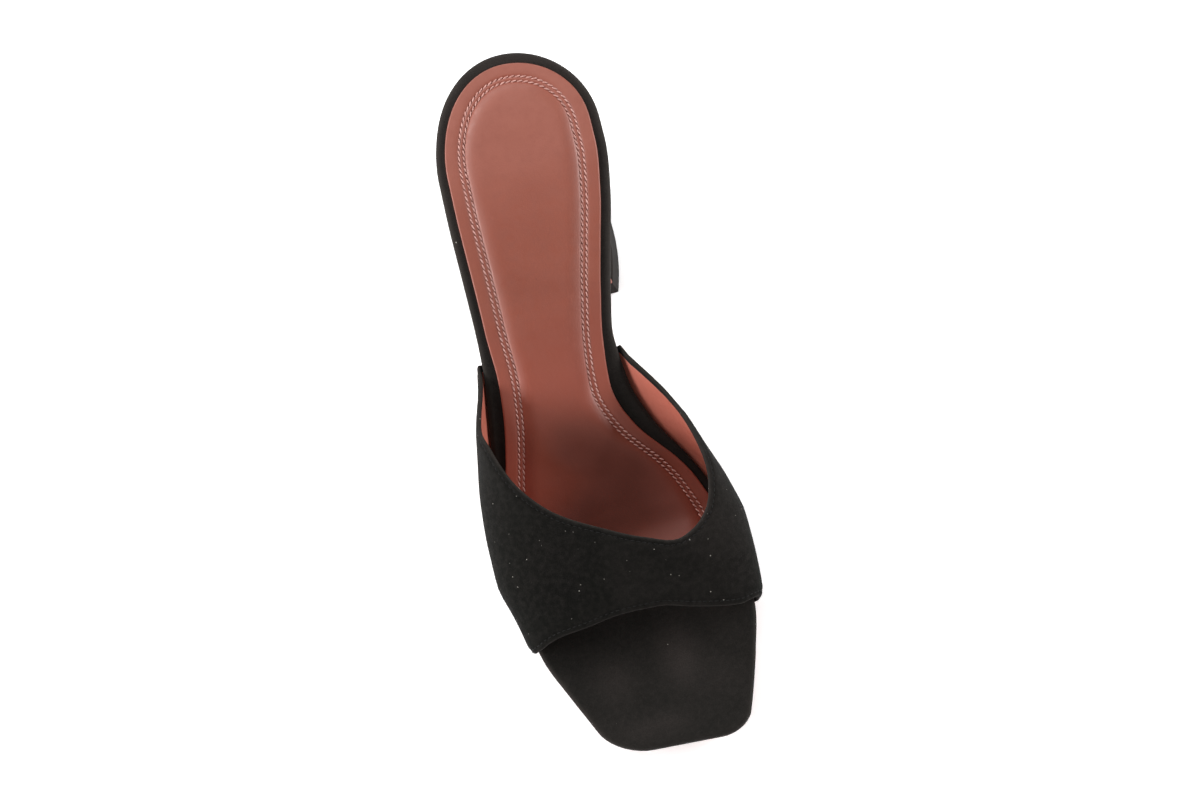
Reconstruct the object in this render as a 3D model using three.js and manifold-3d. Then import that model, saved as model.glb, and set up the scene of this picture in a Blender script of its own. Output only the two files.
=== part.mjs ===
// An open-toe mule with a soft one-piece vamp on a flared block heel: the right shoe, about EU 37.
// Millimetres. +X is the inner side of the foot, -Y the toe, +Z up. The origin is on the floor, under the
// middle of the heel's top piece. A "station" is the distance from the back of the footbed to the toe.
import * as THREE from "three";
import { mergeVertices } from "three/addons/utils/BufferGeometryUtils.js";
import Module from "manifold-3d";

const wasm = await Module();
wasm.setup();

// Driving sizes
const footbedLength = 241; // seen from above
const ballWidth = 81; // footbed across the ball of the foot
const heelRise = 57; // footbed's underside over the floor, at the back of the heel
const toeSpring = 7; // lift of the toe edge over the flat tread
const footbedThickness = 5.6; // board with its suede wrap
const seatDish = 1.2; // how far the heel seat is cupped
const dishEnd = 110; // station where the cup runs out
const outsoleThickness = 2.8;
const outsoleInset = 0.9; // outsole stands back from the footbed's edge
const breastLeather = 1.6; // outsole leather where it runs down the front of the heel
const breastSetback = 0.6; // and how far it stops short of the heel's sides
const upperWall = 2; // suede and lining together
const ballHeight = 33; // inside of the vamp over the footbed, at the ball of the foot
const lastingMargin = 9; // upper tucked under the footbed
const featherRound = 1.2; // inside of the bend where the upper turns under
const wrapGap = 0.45; // the upper stands this far off the footbed's side
const seam = 0.3; // gap between pieces that touch

const sockBorder = 3.4; // footbed's wrap left showing beside the sock
const sockBackBorder = 4.6; // and behind it
const sockEdge = 0.9; // sock leather at its rim
const sockPad = 1.6; // extra height of the padded middle
const sockRim = 7; // flat, stitched rim round the padding
const sockEnd = 184.5; // station of the sock's front end, hidden under the vamp
// Where the vamp's corners begin, the sock is cut in on each side: a depth, and the middle and the reach of
// the cut as shares of footbedLength.
const sockCut = {
  lateral: { depth: 2.2, at: 0.49, reach: 0.12 },
  medial: { depth: 3.7, at: 0.512, reach: 0.115 },
};

const topPieceHeight = 6;
const topPieceTaper = 2; // the top piece is this much smaller at its upper rim
const heelBaseWidth = 49.4; // on the floor, where it is widest
const heelBaseBack = 25.5; // station of the back of the base
const heelBaseFront = 75.5; // station of the front of the base, its breast leather included
const heelTopInset = 0.7; // heel stands back from the footbed's edge
const breastTop = 65.5; // station of the heel's breast where it meets the footbed

// The footbed's outline and profile. "at" is a share of footbedLength; lateral and medial are shares of
// ballWidth from the centre line; rise is a share of the heel's lift and spring a share of toeSpring.
const footbedRows = [
  { at: 0.0, lateral: 0.37, medial: 0.355, rise: 1.0, spring: 0 },
  { at: 0.08, lateral: 0.368, medial: 0.358, rise: 0.985, spring: 0 },
  { at: 0.16, lateral: 0.378, medial: 0.354, rise: 0.942, spring: 0 },
  { at: 0.23, lateral: 0.388, medial: 0.318, rise: 0.868, spring: 0 },
  { at: 0.3, lateral: 0.393, medial: 0.258, rise: 0.751, spring: 0 },
  { at: 0.36, lateral: 0.399, medial: 0.206, rise: 0.621, spring: 0 },
  { at: 0.42, lateral: 0.413, medial: 0.168, rise: 0.479, spring: 0 },
  { at: 0.48, lateral: 0.447, medial: 0.18, rise: 0.336, spring: 0 },
  { at: 0.54, lateral: 0.482, medial: 0.241, rise: 0.202, spring: 0 },
  { at: 0.6, lateral: 0.514, medial: 0.348, rise: 0.094, spring: 0 },
  { at: 0.65, lateral: 0.534, medial: 0.415, rise: 0.03, spring: 0 },
  { at: 0.69, lateral: 0.538, medial: 0.448, rise: 0, spring: 0 },
  { at: 0.78, lateral: 0.52, medial: 0.457, rise: 0, spring: 0 },
  { at: 0.83, lateral: 0.494, medial: 0.447, rise: 0, spring: 0.12 },
  { at: 0.89, lateral: 0.43, medial: 0.396, rise: 0, spring: 0.37 },
  { at: 0.95, lateral: 0.358, medial: 0.33, rise: 0, spring: 0.68 },
  { at: 1.0, lateral: 0.295, medial: 0.269, rise: 0, spring: 1.0 },
];
const heelRound = { lateral: 39, medial: 31 }; // length of the heel seat's rounded end, on each side
const toeCorner = { lateral: [12.6, 9.5], medial: [9, 7] }; // across and along, at the square toe
const toeSkew = 0.08; // the toe edge runs further forward on the inner side
const toeSkewFrom = 0.8; // share of footbedLength where that begins

// Inside of the vamp, which is the shape of the last. Widths and ridge are shares of ballWidth from the
// centre line, height a share of ballHeight over the footbed, belly the share of that height where the
// section is widest, and outerArch the exponent of the outer side: 2 is an ellipse, less leans inwards.
const lastRows = [
  { at: 0.36, lateral: 0.405, medial: 0.215, ridge: 0.0, height: 2.1, belly: 0.2, outerArch: 1.7 },
  { at: 0.42, lateral: 0.422, medial: 0.213, ridge: 0.0, height: 1.98, belly: 0.2, outerArch: 1.7 },
  { at: 0.48, lateral: 0.464, medial: 0.268, ridge: 0.02, height: 1.8, belly: 0.2, outerArch: 1.7 },
  { at: 0.54, lateral: 0.509, medial: 0.333, ridge: 0.03, height: 1.58, belly: 0.21, outerArch: 1.72 },
  { at: 0.6, lateral: 0.55, medial: 0.395, ridge: 0.04, height: 1.37, belly: 0.22, outerArch: 1.76 },
  { at: 0.66, lateral: 0.569, medial: 0.457, ridge: 0.05, height: 1.17, belly: 0.24, outerArch: 1.82 },
  { at: 0.71, lateral: 0.573, medial: 0.486, ridge: 0.05, height: 1.0, belly: 0.26, outerArch: 1.9 },
  { at: 0.76, lateral: 0.54, medial: 0.483, ridge: 0.05, height: 0.84, belly: 0.28, outerArch: 2.0 },
  { at: 0.82, lateral: 0.502, medial: 0.467, ridge: 0.04, height: 0.66, belly: 0.3, outerArch: 2.1 },
  { at: 0.88, lateral: 0.455, medial: 0.42, ridge: 0.04, height: 0.55, belly: 0.3, outerArch: 2.1 },
];

const innerArch = 2.15; // the same exponent on the inner side, where the upper stands more upright

// The vamp's two edges. Girth runs from the outer feather edge, over the foot, to the inner one; throat
// and front are shares of footbedLength.
const vampRows = [
  { girth: 0.0, throat: 0.408, front: 0.813 },
  { girth: 0.06, throat: 0.452, front: 0.816 },
  { girth: 0.11, throat: 0.48, front: 0.82 },
  { girth: 0.16, throat: 0.511, front: 0.823 },
  { girth: 0.21, throat: 0.536, front: 0.822 },
  { girth: 0.25, throat: 0.567, front: 0.818 },
  { girth: 0.3, throat: 0.612, front: 0.815 },
  { girth: 0.36, throat: 0.656, front: 0.814 },
  { girth: 0.43, throat: 0.69, front: 0.81 },
  { girth: 0.5, throat: 0.718, front: 0.813 },
  { girth: 0.57, throat: 0.733, front: 0.825 },
  { girth: 0.62, throat: 0.723, front: 0.831 },
  { girth: 0.67, throat: 0.7, front: 0.835 },
  { girth: 0.72, throat: 0.664, front: 0.836 },
  { girth: 0.76, throat: 0.632, front: 0.833 },
  { girth: 0.8, throat: 0.6, front: 0.83 },
  { girth: 0.84, throat: 0.564, front: 0.828 },
  { girth: 0.89, throat: 0.52, front: 0.826 },
  { girth: 0.94, throat: 0.475, front: 0.826 },
  { girth: 1.0, throat: 0.431, front: 0.826 },
];
const bellyGirth = 0.12; // share of the girth from a feather edge to the widest point

// The heel's sections from its base up to the seat. up is a share of the heel's height; lateral, medial
// and corner (half-width at the breast) are shares of heelBaseWidth; back and front are the shares of the
// way from the base's own ends to the seat's; round is the length of the rounded back over its half-width.
const heelRows = [
  { up: 0.0, lateral: 0.485, medial: 0.463, corner: 0.86, back: 0.04, front: 0.17, round: 1.05 },
  { up: 0.1, lateral: 0.438, medial: 0.415, corner: 0.83, back: -0.09, front: 0.34, round: 1.0 },
  { up: 0.25, lateral: 0.395, medial: 0.375, corner: 0.8, back: -0.2, front: 0.66, round: 0.98 },
  { up: 0.4, lateral: 0.378, medial: 0.36, corner: 0.79, back: -0.23, front: 0.8, round: 0.98 },
  { up: 0.55, lateral: 0.39, medial: 0.37, corner: 0.78, back: -0.12, front: 0.88, round: 1.0 },
  { up: 0.7, lateral: 0.435, medial: 0.41, corner: 0.78, back: 0.15, front: 0.94, round: 1.05 },
  { up: 0.84, lateral: 0.51, medial: 0.475, corner: 0.8, back: 0.53, front: 0.98, round: 1.12 },
  { up: 0.94, lateral: 0.573, medial: 0.535, corner: 0.84, back: 0.85, front: 1.0, round: 1.18 },
];
const heelTaperFrom = 0.57; // share of the heel's length where its sides begin to draw in to the breast

const materials = {
  suede: new THREE.MeshStandardMaterial({ name: "suede", color: 0x1b1a19, roughness: 0.95, metalness: 0 }),
  leather: new THREE.MeshStandardMaterial({ name: "leather", color: 0xb0685a, roughness: 0.5, metalness: 0 }),
  sole: new THREE.MeshStandardMaterial({ name: "sole", color: 0xc07a6a, roughness: 0.55, metalness: 0 }),
  rubber: new THREE.MeshStandardMaterial({ name: "rubber", color: 0x2a2827, roughness: 0.7, metalness: 0 }),
};

const lerp = (a, b, u) => a + (b - a) * u;
const clamp01 = (u) => Math.min(Math.max(u, 0), 1);
const smoothstep = (u) => clamp01(u) ** 2 * (3 - 2 * clamp01(u));
const range = (count, map) => Array.from({ length: count + 1 }, (_, i) => map(i));

// A smooth curve through one column of a table, level at each crest so that it never overshoots
function curve(rows, key, column, at) {
  const last = rows.length - 1;
  const x = Math.min(Math.max(at, rows[0][key]), rows[last][key]);
  let i = 0;
  while (i < last - 1 && x > rows[i + 1][key]) i++;
  const gradient = (k) => (rows[k + 1][column] - rows[k][column]) / (rows[k + 1][key] - rows[k][key]);
  const tangent = (k) => {
    if (k === 0) return gradient(0);
    if (k === last) return gradient(last - 1);
    const before = gradient(k - 1);
    const after = gradient(k);
    return before * after <= 0 ? 0 : (2 * before * after) / (before + after);
  };
  const span = rows[i + 1][key] - rows[i][key];
  const u = (x - rows[i][key]) / span;
  return (
    rows[i][column] * (2 * u ** 3 - 3 * u ** 2 + 1) +
    rows[i + 1][column] * (3 * u ** 2 - 2 * u ** 3) +
    tangent(i) * span * (u ** 3 - 2 * u ** 2 + u) +
    tangent(i + 1) * span * (u ** 3 - u ** 2)
  );
}

// A point of the plan, given by its station, in the shoe's own frame. Near the toe the stations slant.
function place(x, station, z) {
  const skew = toeSkew * x * smoothstep((station / footbedLength - toeSkewFrom) / (1 - toeSkewFrom));
  const heelMiddle = (heelBaseBack + heelBaseFront) / 2;
  return [x, heelMiddle - station - skew, z];
}

// Half-width of the footbed's outline on one side, or of the same outline a distance further in at its
// sides and at its back: the heel end is rounded, and the square toe has a corner.
function halfWidth(side, station, inset = 0, backInset = inset) {
  const width = curve(footbedRows, "at", side, station / footbedLength) * ballWidth - inset;
  const intoHeel = clamp01((station - backInset) / (heelRound[side] - backInset));
  const [across, along] = toeCorner[side].map((size) => Math.max(size - inset, 1));
  const intoToe = clamp01((station + inset - (footbedLength - along)) / along);
  return width * Math.sqrt(1 - (1 - intoHeel) ** 2) - across * (1 - Math.sqrt(1 - intoToe ** 2));
}

// Height of the footbed's underside over the floor
function underFootbed(station) {
  const at = station / footbedLength;
  const tread = outsoleThickness + seam;
  const rise = (heelRise - tread) * curve(footbedRows, "at", "rise", at);
  return tread + rise + toeSpring * curve(footbedRows, "at", "spring", at);
}

// A thickness measured square to the sloping footbed, as a height
function upright(thickness, station) {
  const slope = underFootbed(station + 0.5) - underFootbed(station - 0.5);
  return thickness * Math.hypot(1, slope);
}

// Height of the footbed's top, cupped a little in the heel seat
function overFootbed(x, station) {
  const seat = smoothstep((dishEnd - station) / (dishEnd - breastTop));
  const side = x > 0 ? "medial" : "lateral";
  const across = x / (curve(footbedRows, "at", side, station / footbedLength) * ballWidth);
  const behind = 1 - clamp01(station / heelRound.lateral);
  const dish = seatDish * seat * clamp01(1 - across ** 2 - behind ** 2);
  return underFootbed(station) + upright(footbedThickness, station) - dish;
}

// A plan grid: rows along the shoe, columns across it, between two half-width functions
function planGrid(stations, columns, outer, inner) {
  return stations.map((station) =>
    range(columns, (j) => new THREE.Vector2(lerp(-outer(station), inner(station), j / columns), station)),
  );
}

// Stations between two ends, closer together in the heel's rounded end and in the toe's corners
function stationsBetween(from, to, count) {
  const heelEase = from < heelRound.medial ? 0.7 : 0;
  const toeEase = to > footbedLength - toeCorner.medial[1] ? 0.9 : 0;
  return range(count, (i) => {
    const u = i / count;
    const eased = lerp(u, 1 - Math.cos((u * Math.PI) / 2), heelEase * (1 - u));
    return lerp(from, to, lerp(eased, Math.sin((u * Math.PI) / 2), toeEase * u * u));
  });
}

// The grid's border, as [row, column] pairs in order round it
function borderOf(grid) {
  const rows = grid.length - 1;
  const columns = grid[0].length - 1;
  const border = [];
  for (let j = 0; j < columns; j++) border.push([0, j]);
  for (let i = 0; i < rows; i++) border.push([i, columns]);
  for (let j = columns; j > 0; j--) border.push([rows, j]);
  for (let i = rows; i > 0; i--) border.push([i, 0]);
  return border;
}

// The same grid with its border moved inwards and its inside points spread evenly between
function insetGrid(grid, distance) {
  const rows = grid.length - 1;
  const columns = grid[0].length - 1;
  const moved = grid.map((row) => row.map((p) => p.clone()));
  const border = borderOf(grid);
  const inwards = (k) => {
    const [from, to] = [k, k + 1].map((n) => border[(n + border.length) % border.length]);
    const along = grid[to[0]][to[1]].clone().sub(grid[from[0]][from[1]]).normalize();
    return new THREE.Vector2(-along.y, along.x);
  };
  border.forEach(([i, j], k) => {
    const before = inwards(k - 1);
    const after = inwards(k);
    const mitre = distance / (1 + before.dot(after));
    moved[i][j].add(before.add(after).multiplyScalar(mitre));
  });
  for (let i = 1; i < rows; i++)
    for (let j = 1; j < columns; j++) moved[i][j].lerpVectors(moved[i][0], moved[i][columns], j / columns);
  return moved;
}

// A closed solid from its vertices and its faces of three or four corners
function solidFrom(vertices, faces) {
  const geometry = new THREE.BufferGeometry();
  geometry.setAttribute("position", new THREE.BufferAttribute(new Float32Array(vertices.flat()), 3));
  geometry.setIndex(faces.flatMap(([a, b, c, d]) => (d === undefined ? [a, b, c] : [a, b, c, a, c, d])));
  return solidOf(geometry);
}

function solidOf(geometry) {
  const merged = mergeVertices(geometry, 1e-4);
  const corners = merged.index.array;
  const kept = [];
  for (let i = 0; i < corners.length; i += 3) {
    const [a, b, c] = corners.slice(i, i + 3);
    if (a !== b && b !== c && a !== c) kept.push(a, b, c);
  }
  const vertProperties = merged.attributes.position.array;
  return new wasm.Manifold(new wasm.Mesh({ numProp: 3, vertProperties, triVerts: new Uint32Array(kept) }));
}

// A solid built of plan grids with a height each, from the top one down: the first is its top face, the
// last its underside, and the borders of those between shape its sides.
function slab(layers) {
  const rows = layers[0].grid.length - 1;
  const columns = layers[0].grid[0].length - 1;
  const vertices = [];
  const layerIndex = layers.map(({ grid, height }) =>
    grid.map((row) => row.map((p) => vertices.push(place(p.x, p.y, height(p.x, p.y))) - 1)),
  );
  const top = layerIndex[0];
  const under = layerIndex.at(-1);
  const faces = [];
  for (let i = 0; i < rows; i++)
    for (let j = 0; j < columns; j++) {
      faces.push([top[i][j], top[i + 1][j], top[i + 1][j + 1], top[i][j + 1]]);
      faces.push([under[i][j], under[i][j + 1], under[i + 1][j + 1], under[i + 1][j]]);
    }
  const border = borderOf(layers[0].grid);
  for (let k = 0; k < layers.length - 1; k++)
    border.forEach(([i, j], n) => {
      const [ni, nj] = border[(n + 1) % border.length];
      const [a, b] = [layerIndex[k], layerIndex[k + 1]];
      faces.push([a[i][j], a[ni][nj], b[ni][nj], b[i][j]]);
    });
  return solidFrom(vertices, faces);
}

// A plan grid inside the footbed's outline, or inside the outline a distance further in
const footbedGrid = (stations, columns, inset = 0) =>
  planGrid(
    stations,
    columns,
    (station) => halfWidth("lateral", station, inset),
    (station) => halfWidth("medial", station, inset),
  );
const backEnd = 0.3; // from the very back to a grid's first row, where the rounded end has some width

// Board with its suede wrap, its edges rounded, and a rebate underneath for the tucked upper
function footbedSolid() {
  const grid = footbedGrid(stationsBetween(backEnd, footbedLength, 44), 6);
  const topRound = 1.7;
  const underRound = 0.8;
  const below = (drop) => (x, s) => overFootbed(x, s) - drop;
  const above = (lift) => (x, s) => underFootbed(s) + lift;
  const board = slab([
    { grid: insetGrid(grid, topRound), height: below(0) },
    { grid: insetGrid(grid, topRound / 3), height: below(topRound / 3) },
    { grid, height: below(topRound) },
    { grid, height: above(underRound) },
    { grid: insetGrid(grid, underRound), height: above(0) },
  ]);
  return board.subtract(vampSolid(seam));
}

// How far the sock's edge is cut in at a station
function sockCutIn(side, station) {
  const { depth, at, reach } = sockCut[side];
  const share = clamp01(Math.abs(station / footbedLength - at) / reach);
  return depth * (1 - share ** 2) ** 2;
}

// The leather sock: a flat stitched rim and a padded middle
function sockSolid() {
  const bottom = (x, s) => overFootbed(x, s) + seam;
  const half = (side, inset) => (station) =>
    halfWidth(side, station, sockBorder + inset, sockBackBorder + inset) - sockCutIn(side, station);
  const ring = (inset, lift) => {
    const stations = stationsBetween(sockBackBorder + inset + backEnd, sockEnd - inset, 36);
    const grid = planGrid(stations, 6, half("lateral", inset), half("medial", inset));
    return { grid, height: (x, s) => bottom(x, s) + lift };
  };
  return slab([
    ring(sockRim + 3 * sockPad, sockEdge + sockPad),
    ring(sockRim + sockPad, sockEdge + sockPad * 0.7),
    ring(sockRim, sockEdge),
    ring(0, sockEdge),
    ring(0, 0),
  ]);
}

// Inside of the upper at one station, as [x, z] points from the tucked margin on the outer side, over the
// foot, to the margin on the inner side. Each point carries its share of the girth.
function upperSection(station, cornerSteps, archSteps, tuck) {
  const at = station / footbedLength;
  const ridge = curve(lastRows, "at", "ridge", at) * ballWidth;
  const tall = curve(lastRows, "at", "height", at) * ballHeight;
  const floor = underFootbed(station) + upright(upperWall, station);
  const footTop = underFootbed(station) + upright(footbedThickness, station);
  const belly = footTop + tall * curve(lastRows, "at", "belly", at);
  const half = (side, arch, sign) => {
    const edge = halfWidth(side, station) + wrapGap;
    const wide = Math.max(curve(lastRows, "at", side, at) * ballWidth, edge);
    const exponent = 2 / arch;
    const points = [[edge - tuck, floor, 0]];
    for (let k = 0; k <= cornerSteps; k++) {
      const turn = (k / cornerSteps) * (Math.PI / 2);
      const x = edge - featherRound * (1 - Math.sin(turn));
      points.push([x, floor + featherRound * (1 - Math.cos(turn)), 0]);
    }
    const lowest = floor + featherRound;
    for (let k = 1; k <= 4; k++) {
      const u = k / 4;
      points.push([lerp(edge, wide, Math.sin((u * Math.PI) / 2)), lerp(lowest, belly, u), u * bellyGirth]);
    }
    for (let k = 1; k <= archSteps; k++) {
      const turn = (k / archSteps) * (Math.PI / 2);
      const x = sign * ridge + (wide - sign * ridge) * Math.cos(turn) ** exponent;
      const z = belly + (footTop + tall - belly) * Math.sin(turn) ** exponent;
      points.push([x, z, lerp(bellyGirth, 0.5, k / archSteps)]);
    }
    return points;
  };
  const outerArch = curve(lastRows, "at", "outerArch", at);
  const lateral = half("lateral", outerArch, -1).map(([x, z, girth]) => ({ x: -x, z, girth }));
  const medial = half("medial", innerArch, 1).map(([x, z, girth]) => ({ x, z, girth: 1 - girth }));
  return [...lateral, ...medial.reverse().slice(1)];
}

// The upper: one wall over the last, open at the throat and the toe. With some growth it is the room that
// the upper takes up in its neighbours.
function vampSolid(growth) {
  const cornerSteps = 3;
  const archSteps = 11;
  const rows = 15;
  const tuck = lastingMargin + growth;
  const columns = upperSection(footbedLength / 2, cornerSteps, archSteps, tuck);
  const surface = (index, station) => {
    const { x, z } = upperSection(station, cornerSteps, archSteps, tuck)[index];
    return new THREE.Vector3(...place(x, station, z));
  };
  const grid = columns.map(({ girth }, index) => {
    const throat = curve(vampRows, "girth", "throat", girth) * footbedLength - growth;
    const front = curve(vampRows, "girth", "front", girth) * footbedLength + growth;
    return range(rows, (i) => surface(index, lerp(throat, front, i / rows)));
  });
  const last = grid.length - 1;
  const outward = (j, i) => {
    const across = grid[Math.min(j + 1, last)][i].clone().sub(grid[Math.max(j - 1, 0)][i]);
    const along = grid[j][Math.min(i + 1, rows)].clone().sub(grid[j][Math.max(i - 1, 0)]);
    return along.cross(across).normalize();
  };
  const skin = (distance) =>
    grid.map((column, j) => column.map((p, i) => p.clone().addScaledVector(outward(j, i), distance)));
  return shell(skin(-growth), skin(upperWall + growth));
}

// A closed wall between two grids of points
function shell(inner, outer) {
  const columns = inner.length - 1;
  const rows = inner[0].length - 1;
  const vertices = [...inner.flat(), ...outer.flat()].map((p) => p.toArray());
  const inside = (j, i) => j * (rows + 1) + i;
  const outside = (j, i) => inside(j, i) + inner.flat().length;
  const faces = [];
  for (let j = 0; j < columns; j++)
    for (let i = 0; i < rows; i++) {
      faces.push([inside(j, i), inside(j + 1, i), inside(j + 1, i + 1), inside(j, i + 1)]);
      faces.push([outside(j, i), outside(j, i + 1), outside(j + 1, i + 1), outside(j + 1, i)]);
    }
  for (let j = 0; j < columns; j++) {
    faces.push([inside(j, 0), outside(j, 0), outside(j + 1, 0), inside(j + 1, 0)]);
    faces.push([inside(j + 1, rows), outside(j + 1, rows), outside(j, rows), inside(j, rows)]);
  }
  for (let i = 0; i < rows; i++) {
    faces.push([inside(0, i + 1), outside(0, i + 1), outside(0, i), inside(0, i)]);
    faces.push([inside(columns, i), outside(columns, i), outside(columns, i + 1), inside(columns, i + 1)]);
  }
  return solidFrom(vertices, faces);
}

// Plan of the heel at a share of its height: the rounded back, the sides and the flat breast
function heelSection(up) {
  const row = (column) => curve(heelRows, "up", column, up);
  const back = lerp(heelBaseBack, heelTopInset, row("back"));
  const front = lerp(heelBaseFront - seam - breastLeather, breastTop, row("front"));
  const half = (side) => (station) => {
    const wide = row(side) * heelBaseWidth;
    const round = row("round") * wide;
    const u = clamp01((station - back) / round);
    const sideStart = lerp(back, front, heelTaperFrom);
    const taper = lerp(1, row("corner"), Math.max((station - sideStart) / (front - sideStart), 0) ** 2);
    return wide * Math.sqrt(1 - (1 - u) ** 2) * taper;
  };
  return { back, front, half };
}

// Stations of the heel's plan rows, closer together in its rounded back
const heelStations = (back, front) =>
  range(12, (i) => {
    const u = i / 12;
    return lerp(back, front, i === 0 ? 0.006 : lerp(u, 1 - Math.cos((u * Math.PI) / 2), 0.75));
  });

// A grid over the heel's plan, or over that plan carried on in front of its breast
function heelGrid(up, inset, reach = 0) {
  const { back, front, half } = heelSection(up);
  const grid = planGrid(heelStations(back, front + reach), 4, half("lateral"), half("medial"));
  return insetGrid(grid, inset);
}

// Plan of the heel seat, just inside the footbed's own outline
const seatGrid = () => footbedGrid(heelStations(heelTopInset, breastTop), 4, heelTopInset);

// Suede-covered heel block, from the top piece up to the underside of the footbed
function heelSolid() {
  const base = topPieceHeight + seam;
  const height = (up) => (x, s) => lerp(base, underFootbed(s) - seam, up);
  const shares = heelRows.map((row) => row.up).reverse();
  return slab([
    { grid: seatGrid(), height: height(1) },
    ...shares.map((up) => ({ grid: heelGrid(up, 0), height: height(up) })),
  ]);
}

// Rubber lift under the heel and its breast leather, the sides sloping out to the floor
function topPieceSolid() {
  const chamfer = 0.5;
  const reach = seam + breastLeather;
  return slab([
    { grid: heelGrid(0, 0, reach), height: () => topPieceHeight },
    { grid: heelGrid(0, -topPieceTaper, reach), height: () => chamfer },
    { grid: heelGrid(0, chamfer - topPieceTaper, reach), height: () => 0 },
  ]);
}

// Leather sole from the toe back to the heel, and on down the heel's breast
function outsoleSolid() {
  const upper = (x, s) => underFootbed(s) - seam;
  const under = (lift) => (x, s) => upper(x, s) - upright(outsoleThickness, s) + lift;
  const stations = stationsBetween(breastTop + seam, footbedLength - outsoleInset, 34);
  const grid = footbedGrid(stations, 6, outsoleInset);
  const edgeRound = 0.6;
  const sole = slab([
    { grid, height: upper },
    { grid, height: under(edgeRound) },
    { grid: insetGrid(grid, edgeRound), height: under(0) },
  ]);
  return sole.add(breastSolid());
}

// The leather on the heel's breast, as wide as the heel is at each height but for its setback
function breastSolid() {
  const base = topPieceHeight + seam;
  const layer = (up, top) => {
    const { front, half } = heelSection(up);
    const grid = planGrid(
      [front + seam, front + seam + breastLeather],
      4,
      () => half("lateral")(front) - breastSetback,
      () => half("medial")(front) - breastSetback,
    );
    return { grid, height: (x, s) => lerp(base, underFootbed(s) - seam - top, up) };
  };
  const shares = heelRows.map((row) => row.up).reverse();
  return slab([layer(1, seam), ...shares.map((up) => layer(up, seam))]);
}

// A mesh of a finished solid
function piece(name, material, solid) {
  const { vertProperties, triVerts } = solid.getMesh();
  const geometry = new THREE.BufferGeometry();
  geometry.setAttribute("position", new THREE.BufferAttribute(vertProperties, 3));
  geometry.setIndex(new THREE.BufferAttribute(triVerts, 1));
  geometry.computeVertexNormals();
  const mesh = new THREE.Mesh(geometry, material);
  mesh.name = name;
  return mesh;
}

const shoe = new THREE.Group();
shoe.name = "mule";
shoe.add(
  piece("outsole", materials.sole, outsoleSolid()),
  piece("heel", materials.suede, heelSolid()),
  piece("top_piece", materials.rubber, topPieceSolid()),
  piece("footbed", materials.suede, footbedSolid()),
  piece("insock", materials.leather, sockSolid()),
  piece("upper", materials.suede, vampSolid(0)),
);

export default shoe;
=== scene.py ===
"""Looks for the open-toe mule: a right shoe with a soft suede vamp, a padded leather sock and a flared
block heel covered in suede.

Sizes are in millimetres until a mesh is finished, and then in metres. A station is the distance from the
back of the footbed towards the toe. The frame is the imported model's: +X the inner side of the foot, -Y the
toe, +Z up, and the origin on the floor under the heel.
"""
import math
import random
from collections import namedtuple
from functools import lru_cache

import bmesh
import bpy
from mathutils import Matrix, Vector, noise


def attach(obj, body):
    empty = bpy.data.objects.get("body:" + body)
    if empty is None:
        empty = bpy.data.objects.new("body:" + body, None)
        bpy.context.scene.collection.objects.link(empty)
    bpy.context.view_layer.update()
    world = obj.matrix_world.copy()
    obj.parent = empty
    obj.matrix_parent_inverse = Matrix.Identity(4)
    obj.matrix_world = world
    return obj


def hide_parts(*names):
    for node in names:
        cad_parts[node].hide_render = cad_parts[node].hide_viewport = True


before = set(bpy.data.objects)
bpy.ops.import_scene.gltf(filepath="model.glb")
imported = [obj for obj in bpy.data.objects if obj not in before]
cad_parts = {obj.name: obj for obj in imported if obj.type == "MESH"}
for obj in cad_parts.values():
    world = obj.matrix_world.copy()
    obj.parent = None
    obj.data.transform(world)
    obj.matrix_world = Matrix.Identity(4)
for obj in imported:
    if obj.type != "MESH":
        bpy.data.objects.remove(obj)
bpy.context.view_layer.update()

MM = 0.001

# Driving sizes, the same as the model's
FOOTBED_LENGTH = 241
BALL_WIDTH = 81
HEEL_RISE = 57
TOE_SPRING = 7
FOOTBED_THICKNESS = 5.6
SEAT_DISH = 1.2
DISH_END = 110
OUTSOLE_THICKNESS = 2.8
OUTSOLE_INSET = 0.9
BREAST_LEATHER = 1.6
BREAST_SETBACK = 0.6
UPPER_WALL = 2
BALL_HEIGHT = 33
LASTING_MARGIN = 9
FEATHER_ROUND = 1.2
WRAP_GAP = 0.45
SEAM = 0.3
SOCK_BORDER = 3.4
SOCK_BACK_BORDER = 4.6
SOCK_EDGE = 0.9
SOCK_PAD = 1.6
SOCK_RIM = 7
SOCK_END = 184.5
SOCK_CUT = {"lateral": (2.2, 0.49, 0.12), "medial": (3.7, 0.512, 0.115)}
TOP_PIECE_HEIGHT = 6
TOP_PIECE_TAPER = 2
HEEL_BASE_WIDTH = 49.4
HEEL_BASE_BACK = 25.5
HEEL_BASE_FRONT = 75.5
HEEL_TOP_INSET = 0.7
BREAST_TOP = 65.5

# Finishing sizes, which only the looks have
WRAP_TOP_ROUND = 2.1  # suede pulled over the footbed's upper edge
WRAP_UNDER_ROUND = 1.0
WRAP_CREST_RING = 8  # the ring of the wrap's mesh on that rounded edge, where the nap is painted paler, a painted sheen
STITCH_ROWS = (4.9, 6.6)  # from the sock's cut edge
SOCK_STITCH = (2.1, 0.6, 0.5)  # length, width and height of one stitch
SOCK_STITCH_LIFT = 0.2  # of a stitch's middle over its groove
SOCK_STITCH_LEAN = 19  # degrees across its row
SOCK_PITCH = 2.0
SOCK_SHOULDER = 5.2  # the padding rises to its full height over this width
SOCK_WAVE = (17, 0.18)  # length and height of the soft waves in the padding
LINING = 0.7  # thickness of the vamp's lining
LINING_SETBACK = 2.2  # from the vamp's folded edge
VAMP_SEAM = 1.7  # stitching from the folded edge
VAMP_STITCH = (1.5, 0.42, 0.3)
VAMP_STITCH_LIFT = 0.08
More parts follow.
